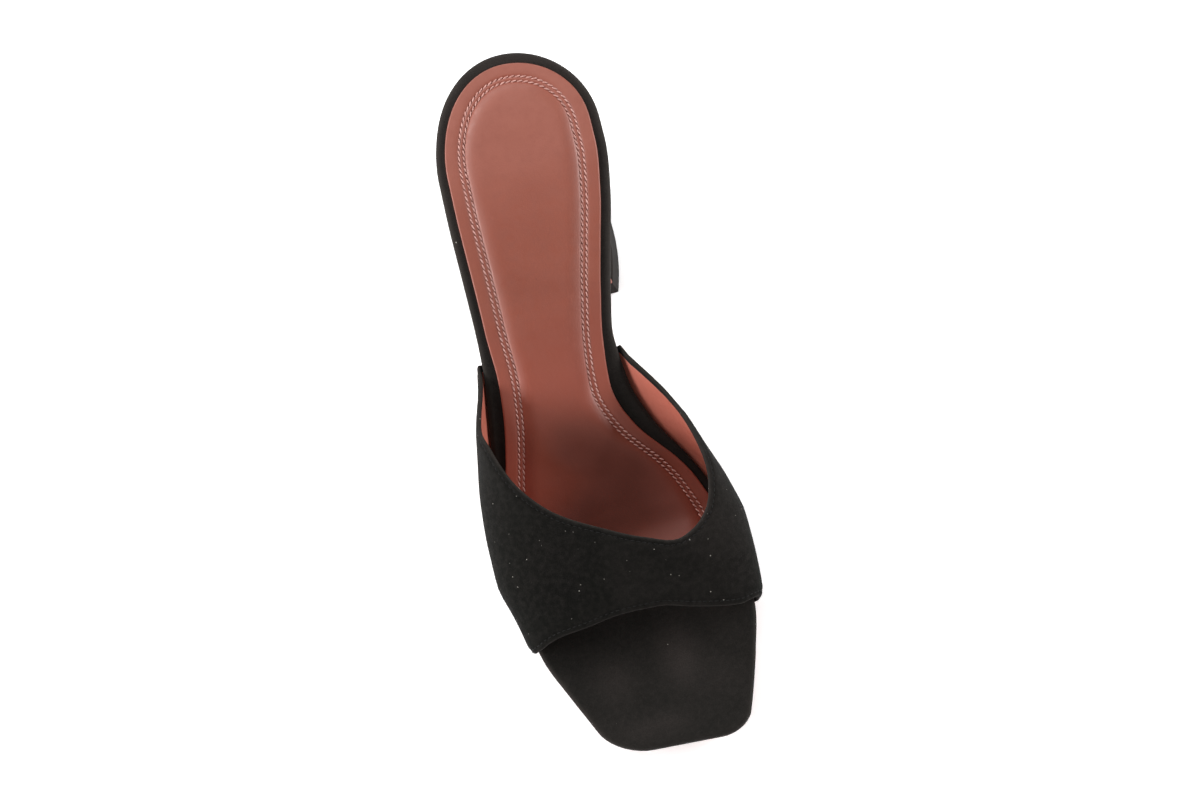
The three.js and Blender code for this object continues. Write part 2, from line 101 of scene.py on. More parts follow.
VAMP_EDGE = 1.3  # thickness of the vamp at its folded edges, where the suede is skived
VAMP_PITCH = 2.0
CORNER_ROUND = 0.7  # suede turned round the heel's front corners

# Camera: where it stands, what it looks at, a level direction to its right, and its lens
CAMERA_SPOT = (-7.41, -284.72, 869.33)
CAMERA_TARGET = (3.2, -67.7, 20)
CAMERA_LEVEL = (0.96155, -0.27463, 0.0)
CAMERA_LENS = 75

# Studio light, in metres: each soft box has a name, an azimuth, an elevation, a width and height, and a
# power. Most of the light comes in low from the two sides, which leaves the inside of the vamp in shade.
LIGHT_TARGET = (0.0, -0.07, 0.02)
LIGHT_DISTANCE = 1.4
AMBIENT = 0.05
FLOOR_GLOW = 0.32  # light of the floor's own, as on a light table, which thins the shadows
FLOOR_REACH = 3  # from its middle to its edges
SOFT_BOXES = (
    ("left box", -90, 20, (1.2, 0.4), 26),
    ("right box", 90, 20, (1.2, 0.4), 26),
    ("front box", 180, 30, (1.0, 0.3), 3.5),
    ("back box", 0, 30, (1.0, 0.3), 6.5),
    ("back left box", -45, 35, (0.6, 0.4), 10),
    ("top box", 0, 72, (0.9, 0.8), 4.5),
)


def table(names, *rows):
    """Rows of a table, each one a dictionary."""
    return [dict(zip(names.split(), row)) for row in rows]


# The footbed's outline and profile. at is a share of FOOTBED_LENGTH; lateral and medial are shares of
# BALL_WIDTH from the centre line; rise is a share of the heel's lift and spring a share of TOE_SPRING.
FOOTBED = table(
    "at lateral medial rise spring",
    (0.0, 0.37, 0.355, 1.0, 0),
    (0.08, 0.368, 0.358, 0.985, 0),
    (0.16, 0.378, 0.354, 0.942, 0),
    (0.23, 0.388, 0.318, 0.868, 0),
    (0.3, 0.393, 0.258, 0.751, 0),
    (0.36, 0.399, 0.206, 0.621, 0),
    (0.42, 0.413, 0.168, 0.479, 0),
    (0.48, 0.447, 0.18, 0.336, 0),
    (0.54, 0.482, 0.241, 0.202, 0),
    (0.6, 0.514, 0.348, 0.094, 0),
    (0.65, 0.534, 0.415, 0.03, 0),
    (0.69, 0.538, 0.448, 0, 0),
    (0.78, 0.52, 0.457, 0, 0),
    (0.83, 0.494, 0.447, 0, 0.12),
    (0.89, 0.43, 0.396, 0, 0.37),
    (0.95, 0.358, 0.33, 0, 0.68),
    (1.0, 0.295, 0.269, 0, 1.0),
)
HEEL_ROUND = {"lateral": 39, "medial": 31}
TOE_CORNER = {"lateral": (12.6, 9.5), "medial": (9, 7)}
TOE_SKEW = 0.08
TOE_SKEW_FROM = 0.8

# Inside of the vamp: widths and ridge are shares of BALL_WIDTH, height a share of BALL_HEIGHT, belly the
# share of that height where the section is widest, and outerArch the exponent of its outer side.
LAST = table(
    "at lateral medial ridge height belly outerArch",
    (0.36, 0.405, 0.215, 0.0, 2.1, 0.2, 1.7),
    (0.42, 0.422, 0.213, 0.0, 1.98, 0.2, 1.7),
    (0.48, 0.464, 0.268, 0.02, 1.8, 0.2, 1.7),
    (0.54, 0.509, 0.333, 0.03, 1.58, 0.21, 1.72),
    (0.6, 0.55, 0.395, 0.04, 1.37, 0.22, 1.76),
    (0.66, 0.569, 0.457, 0.05, 1.17, 0.24, 1.82),
    (0.71, 0.573, 0.486, 0.05, 1.0, 0.26, 1.9),
    (0.76, 0.54, 0.483, 0.05, 0.84, 0.28, 2.0),
    (0.82, 0.502, 0.467, 0.04, 0.66, 0.3, 2.1),
    (0.88, 0.455, 0.42, 0.04, 0.55, 0.3, 2.1),
)
INNER_ARCH = 2.15
BELLY_GIRTH = 0.12

# The vamp's two edges, as stations in shares of FOOTBED_LENGTH, by the girth from the outer feather edge
VAMP = table(
    "girth throat front",
    (0.0, 0.408, 0.813),
    (0.06, 0.452, 0.816),
    (0.11, 0.48, 0.82),
    (0.16, 0.511, 0.823),
    (0.21, 0.536, 0.822),
    (0.25, 0.567, 0.818),
    (0.3, 0.612, 0.815),
    (0.36, 0.656, 0.814),
    (0.43, 0.69, 0.81),
    (0.5, 0.718, 0.813),
    (0.57, 0.733, 0.825),
    (0.62, 0.723, 0.831),
    (0.67, 0.7, 0.835),
    (0.72, 0.664, 0.836),
    (0.76, 0.632, 0.833),
    (0.8, 0.6, 0.83),
    (0.84, 0.564, 0.828),
    (0.89, 0.52, 0.826),
    (0.94, 0.475, 0.826),
    (1.0, 0.431, 0.826),
)

# The heel's sections from its base up to the seat
HEEL = table(
    "up lateral medial corner back front round",
    (0.0, 0.485, 0.463, 0.86, 0.04, 0.17, 1.05),
    (0.1, 0.438, 0.415, 0.83, -0.09, 0.34, 1.0),
    (0.25, 0.395, 0.375, 0.8, -0.2, 0.66, 0.98),
    (0.4, 0.378, 0.36, 0.79, -0.23, 0.8, 0.98),
    (0.55, 0.39, 0.37, 0.78, -0.12, 0.88, 1.0),
    (0.7, 0.435, 0.41, 0.78, 0.15, 0.94, 1.05),
    (0.84, 0.51, 0.475, 0.8, 0.53, 0.98, 1.12),
    (0.94, 0.573, 0.535, 0.84, 0.85, 1.0, 1.18),
)
HEEL_TAPER_FROM = 0.57  # share of the heel's length where its sides begin to draw in to the breast


def lerp(a, b, share):
    return a + (b - a) * share


def clamp01(value):
    return min(max(value, 0.0), 1.0)


def smoothstep(value):
    share = clamp01(value)
    return share * share * (3 - 2 * share)


def bell(distance, width):
    """1 at no distance, falling away smoothly over about a width."""
    return math.exp(-((distance / width) ** 2))


def curve(rows, column, at):
    """A smooth curve through one column of a table by its first column, level at each crest."""
    key = next(iter(rows[0]))
    last = len(rows) - 1
    x = min(max(at, rows[0][key]), rows[last][key])
    i = 0
    while i < last - 1 and x > rows[i + 1][key]:
        i += 1

    def gradient(k):
        return (rows[k + 1][column] - rows[k][column]) / (rows[k + 1][key] - rows[k][key])

    def tangent(k):
        if k == 0:
            return gradient(0)
        if k == last:
            return gradient(last - 1)
        before = gradient(k - 1)
        after = gradient(k)
        return 0 if before * after <= 0 else 2 * before * after / (before + after)

    span = rows[i + 1][key] - rows[i][key]
    u = (x - rows[i][key]) / span
    return (
        rows[i][column] * (2 * u**3 - 3 * u**2 + 1)
        + rows[i + 1][column] * (3 * u**2 - 2 * u**3)
        + tangent(i) * span * (u**3 - 2 * u**2 + u)
        + tangent(i + 1) * span * (u**3 - u**2)
    )


# Soft zones of another tone: the x and station of each, its reach both ways, and its share. Those of the
# suede are painted paler, a painted sheen where the nap catches the light, and those of the sock are
# painted dark, a painted shadow of the vamp.
SUEDE_SHEEN_ZONES = (
    (0, 30, 60, 82, 0.9),
    (28, 170, 12, 20, 0.35),
    (6, 211, 7, 11, 1.0),
    (20, 222, 10, 9, 0.3),
    (-18, 214, 8, 9, 0.5),
    (-8, 233, 14, 5, 0.6),
)
# The sock's zones are painted shade: the vamp's shadow on the sock, painted into its colour.
SOCK_SHADE_ZONES = (
    (-10, 131, 13, 10, 0.85),
    (8, 144, 16, 14, 0.75),
    (-12, 156, 16, 14, 0.5),
    (-24, 124, 6, 9, 0.25),
    (4, 164, 28, 12, 0.8),
)


def zone_share(zones, point):
    """How much of the zones' tone there is at a point of the shoe."""
    station = (HEEL_BASE_BACK + HEEL_BASE_FRONT) / 2 - point.y
    share = sum(
        share * math.exp(-(((point.x - x) / across) ** 2) - ((station - at) / along) ** 2)
        for x, at, across, along, share in zones
    )
    return min(share, 1.0)


def place(x, station, z):
    """A point given by its station, in the shoe's own frame. Near the toe the stations slant."""
    skew = TOE_SKEW * x * smoothstep((station / FOOTBED_LENGTH - TOE_SKEW_FROM) / (1 - TOE_SKEW_FROM))
    return Vector((x, (HEEL_BASE_BACK + HEEL_BASE_FRONT) / 2 - station - skew, z))


@lru_cache(maxsize=None)
def profile(column, station):
    return curve(FOOTBED, column, station / FOOTBED_LENGTH)


def half_width(side, station, inset=0.0):
    """Half-width of the footbed's outline on one side, or of the outline a distance further in."""
    width = profile(side, station) * BALL_WIDTH - inset
    into_heel = clamp01((station - inset) / (HEEL_ROUND[side] - inset))
    across, along = (max(size - inset, 1) for size in TOE_CORNER[side])
    into_toe = clamp01((station + inset - (FOOTBED_LENGTH - along)) / along)
    return width * math.sqrt(1 - (1 - into_heel) ** 2) - across * (1 - math.sqrt(1 - into_toe**2))


def under_footbed(station):
    tread = OUTSOLE_THICKNESS + SEAM
    rise = (HEEL_RISE - tread) * profile("rise", station)
    return tread + rise + TOE_SPRING * profile("spring", station)


def upright(thickness, station):
    """A thickness square to the sloping footbed, as a height."""
    return thickness * math.hypot(1, under_footbed(station + 0.5) - under_footbed(station - 0.5))


def over_footbed(x, station):
    seat = smoothstep((DISH_END - station) / (DISH_END - BREAST_TOP))
    across = x / (profile("medial" if x > 0 else "lateral", station) * BALL_WIDTH)
    behind = 1 - clamp01(station / HEEL_ROUND["lateral"])
    dish = SEAT_DISH * seat * clamp01(1 - across**2 - behind**2)
    return under_footbed(station) + upright(FOOTBED_THICKNESS, station) - dish


# A plan outline of the footbed's kind: its distance in from the footbed's own outline at the sides and at
# the back, the station of its front end, the corners there, across and along, and where each side is cut
# in: a depth, its middle and its reach as shares of FOOTBED_LENGTH. A turn says where a point is on it: 0
# at the back of the heel, -1 or 1 at the middle of the front end, negative on the outer side.
Outline = namedtuple("Outline", "inset back end corner cut")
UNCUT = {"lateral": (0, 0, 1), "medial": (0, 0, 1)}
WRAP = Outline(0, 0, FOOTBED_LENGTH, TOE_CORNER, UNCUT)
SOCK = Outline(SOCK_BORDER, SOCK_BACK_BORDER, SOCK_END, {"lateral": (5, 5), "medial": (5, 5)}, SOCK_CUT)
HEEL_TURN = 0.18
SIDE_TURN = 0.875
CORNER_TURN = 0.94
BACK_CORNER = 0.1  # turns at which a core grid has its four corners
FRONT_CORNER = 0.91
END_BLEND = 6  # the higher, the sooner a core grid's rows run straight across


def rim(outline, turn, further=0.0):
    """Plan point of an outline at a turn, or of one a distance further in: x and station."""
    side = "medial" if turn > 0 else "lateral"
    share = abs(turn)
    inset = outline.inset + further
    back = outline.back + further
    end = outline.end - further
    across, along = (max(size - further, 1) for size in outline.corner[side])

    def width(station):
        depth, at, reach = outline.cut[side]
        share = clamp01(abs(station / FOOTBED_LENGTH - at) / reach)
        return profile(side, station) * BALL_WIDTH - inset - depth * (1 - share**2) ** 2

    if share < HEEL_TURN:
        angle = share / HEEL_TURN * math.pi / 2
        station = back + (HEEL_ROUND[side] - back) * (1 - math.cos(angle))
        x = width(station) * math.sin(angle)
    elif share < SIDE_TURN:
        station = lerp(HEEL_ROUND[side], end - along, (share - HEEL_TURN) / (SIDE_TURN - HEEL_TURN))
        x = width(station)
    elif share < CORNER_TURN:
        angle = (share - SIDE_TURN) / (CORNER_TURN - SIDE_TURN) * math.pi / 2
        station = end - along + along * math.sin(angle)
        x = width(station) - across * (1 - math.cos(angle))
    else:
        station = end
        x = (width(end) - across) * (1 - share) / (1 - CORNER_TURN)
    return math.copysign(1, turn) * x, station


def border_turn(across, along):
    """The turn of a point on a core grid's border."""
    if along == 0:
        return lerp(-BACK_CORNER, BACK_CORNER, across)
    if along == 1:
        middle = 2 * across - 1
        return math.copysign(lerp(1, FRONT_CORNER, abs(middle)), middle)
    return lerp(BACK_CORNER, FRONT_CORNER, along) * (1 if across == 1 else -1)


def core_point(outline, across, along, further):
    """Plan point inside an outline: on a straight line between its sides, bent near its two ends."""

    def border(u, v):
        return Vector(rim(outline, border_turn(u, v), further))

    def straight(v):
        return border(0, v) * (1 - across) + border(1, v) * across

    back = (border(across, 0) - straight(0)) * (1 - along) ** END_BLEND
    front = (border(across, 1) - straight(1)) * along**END_BLEND
    return straight(along) + back + front


def verts_in(geometry):
    return [item for item in geometry if isinstance(item, bmesh.types.BMVert)]


def open_edges_in(geometry):
    return [item for item in geometry if isinstance(item, bmesh.types.BMEdge) and item.is_boundary]


def core_grid(mesh, turn_of, outline, columns, rows, ring):
    """A grid that fills an outline. Each border vertex remembers its turn."""
    further, height = ring
    grid = bmesh.ops.create_grid(mesh, x_segments=columns, y_segments=rows, size=0.5)["verts"]
    for vert in grid:
        across = round(vert.co.x + 0.5, 5)
        along = round(vert.co.y + 0.5, 5)
        x, station = core_point(outline, across, along, further)
        vert[turn_of] = border_turn(across, along)
        vert.co = place(x, station, height(x, station))


def slab(outline, columns, rows, rings):
    """A closed layer with a plan outline. The first ring is the border of its top face; the border is then
    extruded ring by ring, out and round the edge and in below, and the last one is closed by a grid. A
    ring is a distance further in than the outline, and a height by x and station. Each vertex remembers the
    number of its ring, and those inside the two grids have 0."""
    mesh = bmesh.new()
    turn_of = mesh.verts.layers.float.new("turn")
    ring_of = mesh.verts.layers.int.new("ring")
    core_grid(mesh, turn_of, outline, columns, rows, rings[0])
    edges = open_edges_in(mesh.edges)
    for number, (further, height) in enumerate(rings[1:], start=1):
        made = bmesh.ops.extrude_edge_only(mesh, edges=edges)["geom"]
        for vert in verts_in(made):
            x, station = rim(outline, vert[turn_of], further)
            vert[ring_of] = number
            vert.co = place(x, station, height(x, station))
        edges = open_edges_in(made)
    core_grid(mesh, turn_of, outline, columns, rows, rings[-1])
    bmesh.ops.remove_doubles(mesh, verts=mesh.verts, dist=0.002)
    return mesh


def tube(around, rows, position):
    """A closed tube: a circle of vertices extruded row by row and capped at both ends. position gives the
    point of a row and column."""
    mesh = bmesh.new()
    column_of = mesh.verts.layers.int.new("column")
    row_of = mesh.verts.layers.int.new("row")
    circle = bmesh.ops.create_circle(mesh, segments=around, radius=1)["verts"]
    for column, vert in enumerate(circle):
        vert[column_of] = column
        vert.co = position(0, column)
    first = edges = list(mesh.edges)
    for row in range(1, rows):
        made = bmesh.ops.extrude_edge_only(mesh, edges=edges)["geom"]
        for vert in verts_in(made):
            vert[row_of] = row
            vert.co = position(row, vert[column_of])
        edges = open_edges_in(made)
    bmesh.ops.contextual_create(mesh, geom=first)
    bmesh.ops.contextual_create(mesh, geom=edges)
    return mesh


def in_scene(name, data):
    """A new object of some data, linked to the scene."""
    made = bpy.data.objects.new(name, data)
    bpy.context.scene.collection.objects.link(made)
    return made


def mesh_object(mesh, name, finish):
    """Ends a bmesh as an object of one material."""
    data = bpy.data.meshes.new(name)
    mesh.to_mesh(data)
    mesh.free()
    data.materials.append(finish)
    return in_scene(name, data)


def finished(mesh, name, finish, replaced=(), sharp=40, zones=SUEDE_SHEEN_ZONES):
    """A finished piece from a mesh in millimetres. Edges that turn by more than sharp degrees stay crisp."""
    bmesh.ops.recalc_face_normals(mesh, faces=mesh.faces)
    zone_of = mesh.verts.layers.float.new("zone")
    for vert in mesh.verts:
        vert[zone_of] = zone_share(zones, vert.co)
    bmesh.ops.scale(mesh, vec=(MM, MM, MM), verts=mesh.verts)
    for face in mesh.faces:
        face.smooth = True
    for edge in mesh.edges:
        if edge.is_manifold and edge.calc_face_angle() > math.radians(sharp):
            edge.smooth = False
    piece = mesh_object(mesh, name, finish)
    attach(piece, "root")
    if replaced:
        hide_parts(*replaced)
    return piece


def feed(tree, node, inputs):
    """Sets a node's inputs to values, or links them to other sockets."""
    for name, value in inputs.items():
        if isinstance(value, bpy.types.NodeSocket):
            tree.links.new(value, node.inputs[name])
        else:
            node.inputs[name].default_value = value


def add(tree, kind, inputs=None, **settings):
    """A shader node with its settings and its inputs."""
    made = tree.nodes.new(kind)
    for name, value in settings.items():
        setattr(made, name, value)
    feed(tree, made, inputs or {})
    return made


def ramp(tree, value, low, high, to_low=0.0, to_high=1.0):
    """A value spread from one range to another, and held at its ends."""
    spread = {0: value, 1: low, 2: high, 3: to_low, 4: to_high}
    return add(tree, "ShaderNodeMapRange", spread, clamp=True).outputs[0]


def maths(tree, operation, first, second):
    return add(tree, "ShaderNodeMath", {0: first, 1: second}, operation=operation).outputs[0]


def blend(tree, share, first, second):
    """A colour mixed from two."""
    inputs = {0: share, 6: first, 7: second}
    return add(tree, "ShaderNodeMix", inputs, data_type="RGBA", clamp_factor=True).outputs[2]


def noise_at(tree, scale, detail=3.0, distortion=0.0, stretch=None):
    """Noise on Object coordinates. scale is in waves per metre."""
    where = add(tree, "ShaderNodeTexCoord").outputs["Object"]
    if stretch:
        where = add(tree, "ShaderNodeMapping", {"Vector": where, "Scale": stretch}).outputs[0]
    inputs = {"Vector": where, "Scale": scale, "Detail": detail, "Distortion": distortion}
    return add(tree, "ShaderNodeTexNoise", inputs).outputs[0]


def cells_at(tree, scale, feature="F1"):
    """Random cells on Object coordinates, as a Voronoi node."""
    where = add(tree, "ShaderNodeTexCoord").outputs["Object"]
    return add(tree, "ShaderNodeTexVoronoi", {"Vector": where, "Scale": scale}, feature=feature)


def shader_group(name, inputs, outputs):
    """An empty node group with named sockets, its input node and its output node."""
    tree = bpy.data.node_groups.new(name, "ShaderNodeTree")
    for label, kind, default in inputs:
        socket = tree.interface.new_socket(label, in_out="INPUT", socket_type=kind)
        socket.default_value = default
    for label, kind in outputs:
        tree.interface.new_socket(label, in_out="OUTPUT", socket_type=kind)
    return tree, add(tree, "NodeGroupInput"), add(tree, "NodeGroupOutput")


def linear(red, green, blue):
    """A colour given as it looks on a screen, from 0 to 255, in the shader's own linear values."""

    def value(level):
        share = level / 255
        return share / 12.92 if share <= 0.04045 else ((share + 0.055) / 1.055) ** 2.4

    return (value(red), value(green), value(blue), 1.0)


def specks_group():
    """Small specks strewn over a surface: lint on suede, dust on rubber, flecks on leather."""
    tree, given, result = shader_group(
        "strewn specks",
        [
            ("Color", "NodeSocketColor", (0, 0, 0, 1)),
            ("Speck color", "NodeSocketColor", (1, 1, 1, 1)),
            ("Spread", "NodeSocketFloat", 250.0),
            ("Size", "NodeSocketFloat", 0.06),
            ("Share", "NodeSocketFloat", 0.1),
        ],
        [("Color", "NodeSocketColor")],
    )
    cells = cells_at(tree, given.outputs["Spread"])
    near = maths(tree, "LESS_THAN", cells.outputs["Distance"], given.outputs["Size"])
    pick = add(tree, "ShaderNodeSeparateColor", {0: cells.outputs["Color"]})
    chosen = maths(tree, "LESS_THAN", pick.outputs[0], given.outputs["Share"])
    mask = maths(tree, "MULTIPLY", maths(tree, "MULTIPLY", near, chosen), pick.outputs[1])
    mixed = blend(tree, mask, given.outputs["Color"], given.outputs["Speck color"])
    feed(tree, result, {"Color": mixed})
    return tree


def suede_group():
    """Suede nap: brushed patches and zones of painted sheen, with broken edges, a mottle of fibres, and the
    height of the fibres.
    """
    tree, given, result = shader_group(
        "suede nap",
        [
            ("Color", "NodeSocketColor", (0, 0, 0, 1)),
            ("Brushed color", "NodeSocketColor", (0.1, 0.1, 0.1, 1)),
            ("Patch scale", "NodeSocketFloat", 45.0),
            ("Brushing", "NodeSocketFloat", 0.5),
            ("Zone", "NodeSocketFloat", 0.0),
        ],
        [("Color", "NodeSocketColor"), ("Roughness", "NodeSocketFloat"), ("Height", "NodeSocketFloat")],
    )
    patch = noise_at(tree, given.outputs["Patch scale"], 3, 0.6)
    brushed = maths(tree, "MULTIPLY", ramp(tree, patch, 0.42, 0.72), given.outputs["Brushing"])
    # The zones are painted sheen: the suede is painted paler where its nap catches the light.
    zone = maths(tree, "MULTIPLY", given.outputs["Zone"], ramp(tree, patch, 0.3, 0.6, 0.55, 1.0))
    paler = maths(tree, "MAXIMUM", brushed, zone)
    tone = blend(tree, paler, given.outputs["Color"], given.outputs["Brushed color"])
    mottle = noise_at(tree, 520, 5)
    fibre = noise_at(tree, 2600, 4, 0.4)
    tone = blend(tree, ramp(tree, mottle, 0.4, 0.7, 0.0, 0.16), tone, given.outputs["Brushed color"])
    tone = blend(tree, ramp(tree, fibre, 0.3, 0.75, 0.4, 0.0), tone, (0.0, 0.0, 0.0, 1.0))
    rough = ramp(tree, mottle, 0.3, 0.7, 0.96, 0.82)
    height = maths(tree, "ADD", fibre, maths(tree, "MULTIPLY", mottle, 0.6))
    feed(tree, result, {"Color": tone, "Roughness": rough, "Height": height})
    return tree


def leather_group():
    """Smooth leather: clouded colour, fine creased grain, and a gloss that the grain breaks up."""
    tree, given, result = shader_group(
        "leather grain",
        [
            ("Color", "NodeSocketColor", (0.5, 0.2, 0.1, 1)),
            ("Deep color", "NodeSocketColor", (0.3, 0.1, 0.05, 1)),
            ("Gloss low", "NodeSocketFloat", 0.4),
            ("Gloss high", "NodeSocketFloat", 0.6),
        ],
        [("Color", "NodeSocketColor"), ("Roughness", "NodeSocketFloat"), ("Height", "NodeSocketFloat")],
    )
    cloud = noise_at(tree, 38, 5, 0.5)
    fine = noise_at(tree, 320, 6)
    cells = cells_at(tree, 900, "DISTANCE_TO_EDGE")
    crease = ramp(tree, cells.outputs["Distance"], 0.0, 0.09, 1.0, 0.0)
    deep = given.outputs["Deep color"]
    tone = blend(tree, ramp(tree, cloud, 0.4, 0.75, 0.0, 0.55), given.outputs["Color"], deep)
    tone = blend(tree, ramp(tree, fine, 0.45, 0.75, 0.0, 0.25), tone, deep)
    tone = blend(tree, maths(tree, "MULTIPLY", crease, 0.12), tone, deep)
    rough = ramp(tree, fine, 0.3, 0.7, given.outputs["Gloss low"], given.outputs["Gloss high"])
    raised = maths(tree, "MULTIPLY", fine, 0.7)
    height = maths(tree, "SUBTRACT", raised, maths(tree, "MULTIPLY", crease, 0.35))
    feed(tree, result, {"Color": tone, "Roughness": rough, "Height": height})
    return tree


def material(name):
    """An empty material, its node tree and its shader."""
    made = bpy.data.materials.new(name)
    made.use_nodes = True
    tree = made.node_tree
    tree.nodes.clear()
    shader = add(tree, "ShaderNodeBsdfPrincipled")
    add(tree, "ShaderNodeOutputMaterial", {"Surface": shader.outputs[0]})
    return made, tree, shader


def bump(tree, shader, height, strength, distance):
    """Gives a shader the relief of a height. distance is in millimetres."""
    relief = add(tree, "ShaderNodeBump", {"Strength": strength, "Distance": distance * MM, "Height": height})
    feed(tree, shader, {"Normal": relief.outputs[0]})


def placed(tree, group, inputs):
    """Places a node group in a material, and gives what it puts out."""
    return add(tree, "ShaderNodeGroup", inputs, node_tree=group).outputs


def speckled(tree, groups, color, speck, spread, size, share):
    """A colour with small specks of another strewn over it."""
    inputs = {"Color": color, "Speck color": speck, "Spread": spread, "Size": size, "Share": share}
    return placed(tree, groups["specks"], inputs)["Color"]


def stored(tree, name):
    """A value that a piece stores at its vertices."""
    return add(tree, "ShaderNodeAttribute", attribute_name=name).outputs["Fac"]


def suede_material(name, groups, color, patch_scale=26.0, brushing=0.3, lint=0.1, crest_sheen=0.0):
    """Black suede, with lint caught in it. Its last argument says how much paler the crests of a piece's
    folds are painted, a painted sheen.
    """
    made, tree, shader = material(name)
    nap = placed(
        tree,
        groups["suede"],
        {
            "Color": color,
            "Brushed color": linear(54, 49, 47),
            "Patch scale": patch_scale,
            "Brushing": brushing,
            "Zone": stored(tree, "zone"),
        },
    )
    color = nap["Color"]
    if crest_sheen:
        # Painted sheen: the crests of the folds are painted paler, as if catching the light.
        crest = maths(tree, "MULTIPLY", stored(tree, "fold"), crest_sheen)
        color = blend(tree, crest, color, linear(62, 57, 54))
    feed(
        tree,
        shader,
        {
            "Base Color": speckled(tree, groups, color, linear(140, 136, 129), 330, 0.075, lint),
            "Roughness": nap["Roughness"],
            "Specular IOR Level": 0.04,
            "Sheen Weight": 0.03,
            "Sheen Roughness": 0.45,
        },
    )
    bump(tree, shader, nap["Height"], 0.5, 0.25)
    return made


def leather_material(name, groups, color, deep, gloss=(0.38, 0.55), shine=0.45, flecks=0.0):
    """Coloured leather. flecks is the share of small dark marks on it."""
    made, tree, shader = material(name)
    grained = placed(
        tree,
        groups["leather"],
        {"Color": color, "Deep color": deep, "Gloss low": gloss[0], "Gloss high": gloss[1]},
    )
    marked = speckled(tree, groups, grained["Color"], linear(70, 34, 30), 140, 0.05, flecks)
    rough = grained["Roughness"]
    feed(tree, shader, {"Base Color": marked, "Roughness": rough, "Specular IOR Level": shine})
    bump(tree, shader, grained["Height"], 0.25, 0.12)
    return made


# The seat's rose is painted greyer than the waist's, a painted sheen on the heel seat.
SEAT_ROSE = linear(135, 74, 59)
SEAT_ROSE_DEEP = linear(120, 61, 47)
WAIST_ROSE = linear(136, 66, 50)
# Painted shadow: the dark rose of the sock where the vamp's shade falls on it.
PAINTED_SHADE_ROSE = linear(88, 34, 18)


def sock_material(groups):
    """The sock's leather: painted a little greyer on the heel seat than at the waist, a painted sheen, and
    painted dark under the vamp, a painted shadow of the vamp."""
    made = leather_material(
        "sock leather", groups, SEAT_ROSE, SEAT_ROSE_DEEP, gloss=(0.4, 0.54), shine=0.5, flecks=0.06
    )
    tree = made.node_tree
    shader = tree.nodes["Principled BSDF"]
    plain, polished = (shader.inputs[name].links[0].from_socket for name in ("Base Color", "Roughness"))
    where = add(tree, "ShaderNodeTexCoord").outputs["Object"]
    along = add(tree, "ShaderNodeSeparateXYZ", {0: where}).outputs[1]
    # Painted sheen: the heel seat stays greyer, and the sock turns redder towards the waist.
    waist = ramp(tree, along, -0.03, -0.06)
    redder = blend(tree, maths(tree, "MULTIPLY", waist, 0.8), plain, WAIST_ROSE)
    zone = stored(tree, "zone")
    # Painted shade: the sock turns dark under the vamp, where its shadow falls.
    painted_shade_mask = maths(tree, "MULTIPLY", zone, ramp(tree, noise_at(tree, 60, 3), 0.3, 0.6, 0.85, 1.0))
    color = blend(tree, painted_shade_mask, redder, PAINTED_SHADE_ROSE)
    rough = maths(tree, "MAXIMUM", polished, maths(tree, "MULTIPLY", zone, 0.85))
    feed(tree, shader, {"Base Color": color, "Roughness": rough})
    return made


def rubber_material(groups):
    """The lift's dense black rubber, dusty and slightly scuffed."""
    made, tree, shader = material("lift rubber")
    scuff = noise_at(tree, 90, 6, 0.3, (1.0, 1.0, 4.0))
    color = blend(tree, ramp(tree, scuff, 0.4, 0.75, 0.0, 0.5), linear(34, 31, 30), linear(54, 50, 48))
    dusty = speckled(tree, groups, color, linear(110, 104, 98), 320, 0.09, 0.1)
    rough = ramp(tree, scuff, 0.3, 0.7, 0.55, 0.72)
    feed(tree, shader, {"Base Color": dusty, "Roughness": rough, "Specular IOR Level": 0.12})
    bump(tree, shader, noise_at(tree, 1400, 4), 0.25, 0.1)
    return made


def thread_material(name, color, shade):
    """Twisted thread, lighter and darker by strand."""
    made, tree, shader = material(name)
    strand = noise_at(tree, 1500, 3)
    twisted = blend(tree, ramp(tree, strand, 0.35, 0.7), color, shade)
    rough = ramp(tree, strand, 0.3, 0.7, 0.6, 0.8)
    feed(tree, shader, {"Base Color": twisted, "Roughness": rough, "Specular IOR Level": 0.2})
    bump(tree, shader, noise_at(tree, 5200, 2), 0.4, 0.05)
    return made


